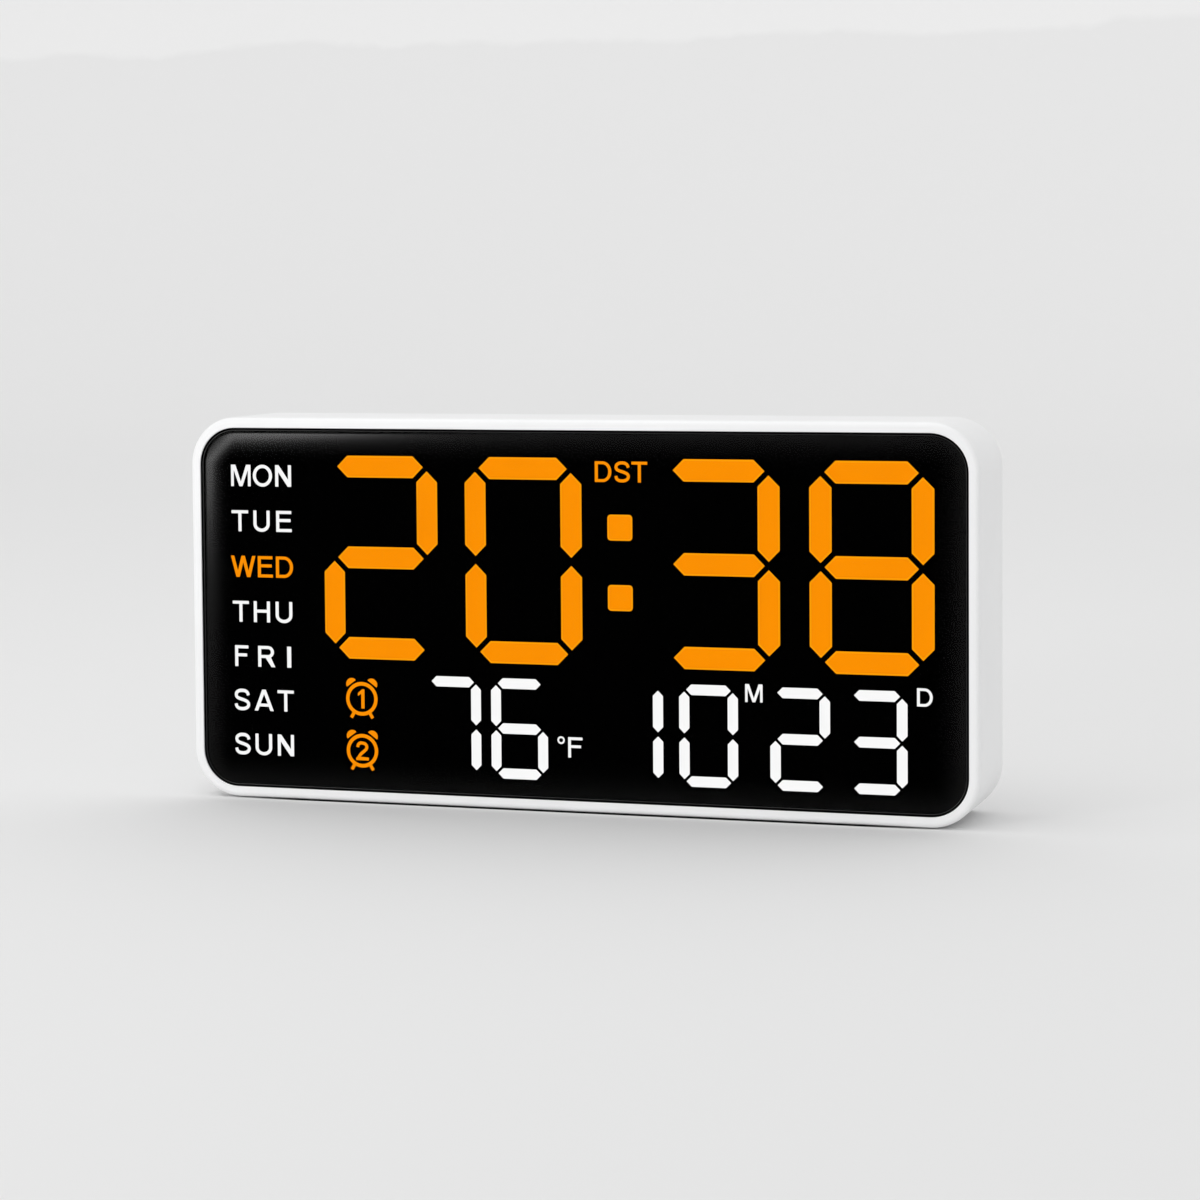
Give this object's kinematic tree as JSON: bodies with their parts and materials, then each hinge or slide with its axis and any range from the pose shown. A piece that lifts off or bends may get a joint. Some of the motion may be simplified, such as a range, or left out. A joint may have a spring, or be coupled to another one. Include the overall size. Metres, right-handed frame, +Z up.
{
  "type": "dementia day clock",
  "caption": "Wide white desk clock with a flush smoked front panel, large orange time digits, small white date and temperature digits, a weekday column, and rear push buttons.",
  "frame": {"origin": "on the surface that the clock stands on, below the middle of the case", "axes": "+Z up, +X to the right of someone who faces the display, -Y out of the front panel"},
  "size_m": [0.292, 0.042, 0.1394],
  "materials": {
    "case_white": "fine satin moulded ABS",
    "smoked_lens": "polished smoked acrylic",
    "film_black": "screen-printed black film",
    "tape_black": "adhesive foam",
    "light_box_white": "reflective white moulding",
    "segment_orange": "translucent, lit orange",
    "segment_white": "translucent, lit white",
    "segment_unlit": "translucent, unlit",
    "board_green": "solder-masked laminate",
    "led_body": "moulded diode body",
    "chip_black": "moulded package",
    "metal_tinned": "tinned steel",
    "screw_steel": "zinc-plated steel",
    "cell_steel": "polished stainless steel",
    "ribbon_grey": "vinyl flat cable",
    "connector_white": "nylon housing",
    "capacitor_sleeve": "shrink sleeve",
    "holder_black": "moulded nylon",
    "button_white": "satin moulded ABS",
    "rubber_black": "soft rubber"
  },
  "bodies": {
    "case": {"front_housing": "case_white", "rubber_feet": "rubber_black", "lens_panel": "smoked_lens", "lens_tape": "tape_black", "mask_film": "film_black", "segment_frame": "light_box_white", "time_segments_lit": "segment_orange", "time_segments_unlit": "segment_unlit", "colon_dots": "segment_orange", "small_segments_lit": "segment_white", "small_segments_unlit": "segment_unlit", "white_sign_diffusers": "segment_white", "orange_sign_diffusers": "segment_orange", "display_board": "board_green", "time_leds": "led_body", "small_leds": "led_body", "led_drivers": "chip_black", "display_resistors": "chip_black", "display_connector": "connector_white", "display_screws": "screw_steel", "ribbon_cable": "ribbon_grey", "control_board": "board_green", "control_connector": "connector_white", "microcontroller": "chip_black", "clock_crystal": "metal_tinned", "smoothing_capacitor": "capacitor_sleeve", "voltage_regulator": "chip_black", "control_resistors": "chip_black", "temperature_sensor": "chip_black", "buzzer": "holder_black", "power_socket_shell": "metal_tinned", "power_socket_insulator": "holder_black", "control_screws": "screw_steel", "battery_holder": "holder_black", "coin_cell": "cell_steel", "battery_contact_negative": "metal_tinned", "battery_contact_positive": "metal_tinned", "switch_bodies": "holder_black", "rear_cover": "case_white", "cover_screws": "screw_steel"},
    "battery_door": {"battery_door": "case_white"},
    "set_button": {"set_button": "button_white", "set_switch_plunger": "holder_black"},
    "up_button": {"up_button": "button_white", "up_switch_plunger": "holder_black"},
    "down_button": {"down_button": "button_white", "down_switch_plunger": "holder_black"},
    "alarm_button": {"alarm_button": "button_white", "alarm_switch_plunger": "holder_black"},
    "dimmer_button": {"dimmer_button": "button_white", "dimmer_switch_plunger": "holder_black"}
  },
  "joints": [
    {"name": "battery_door_turn", "type": "hinge", "parent": "case", "child": "battery_door", "pos_m": [0.04453, 0.02, 0.0699], "axis": [0, 1, 0], "range_deg": [0, 45]},
    {"name": "set_press", "type": "slide", "parent": "case", "child": "set_button", "axis": [0, -1, 0], "range_m": [0, 0.0008], "stiffness_N_per_m": 600, "springref_m": -0.0006},
    {"name": "up_press", "type": "slide", "parent": "case", "child": "up_button", "axis": [0, -1, 0], "range_m": [0, 0.0008], "stiffness_N_per_m": 600, "springref_m": -0.0006},
    {"name": "down_press", "type": "slide", "parent": "case", "child": "down_button", "axis": [0, -1, 0], "range_m": [0, 0.0008], "stiffness_N_per_m": 600, "springref_m": -0.0006},
    {"name": "alarm_press", "type": "slide", "parent": "case", "child": "alarm_button", "axis": [0, -1, 0], "range_m": [0, 0.0008], "stiffness_N_per_m": 600, "springref_m": -0.0006},
    {"name": "dimmer_press", "type": "slide", "parent": "case", "child": "dimmer_button", "axis": [0, -1, 0], "range_m": [0, 0.0008], "stiffness_N_per_m": 600, "springref_m": -0.0006}
  ]
}
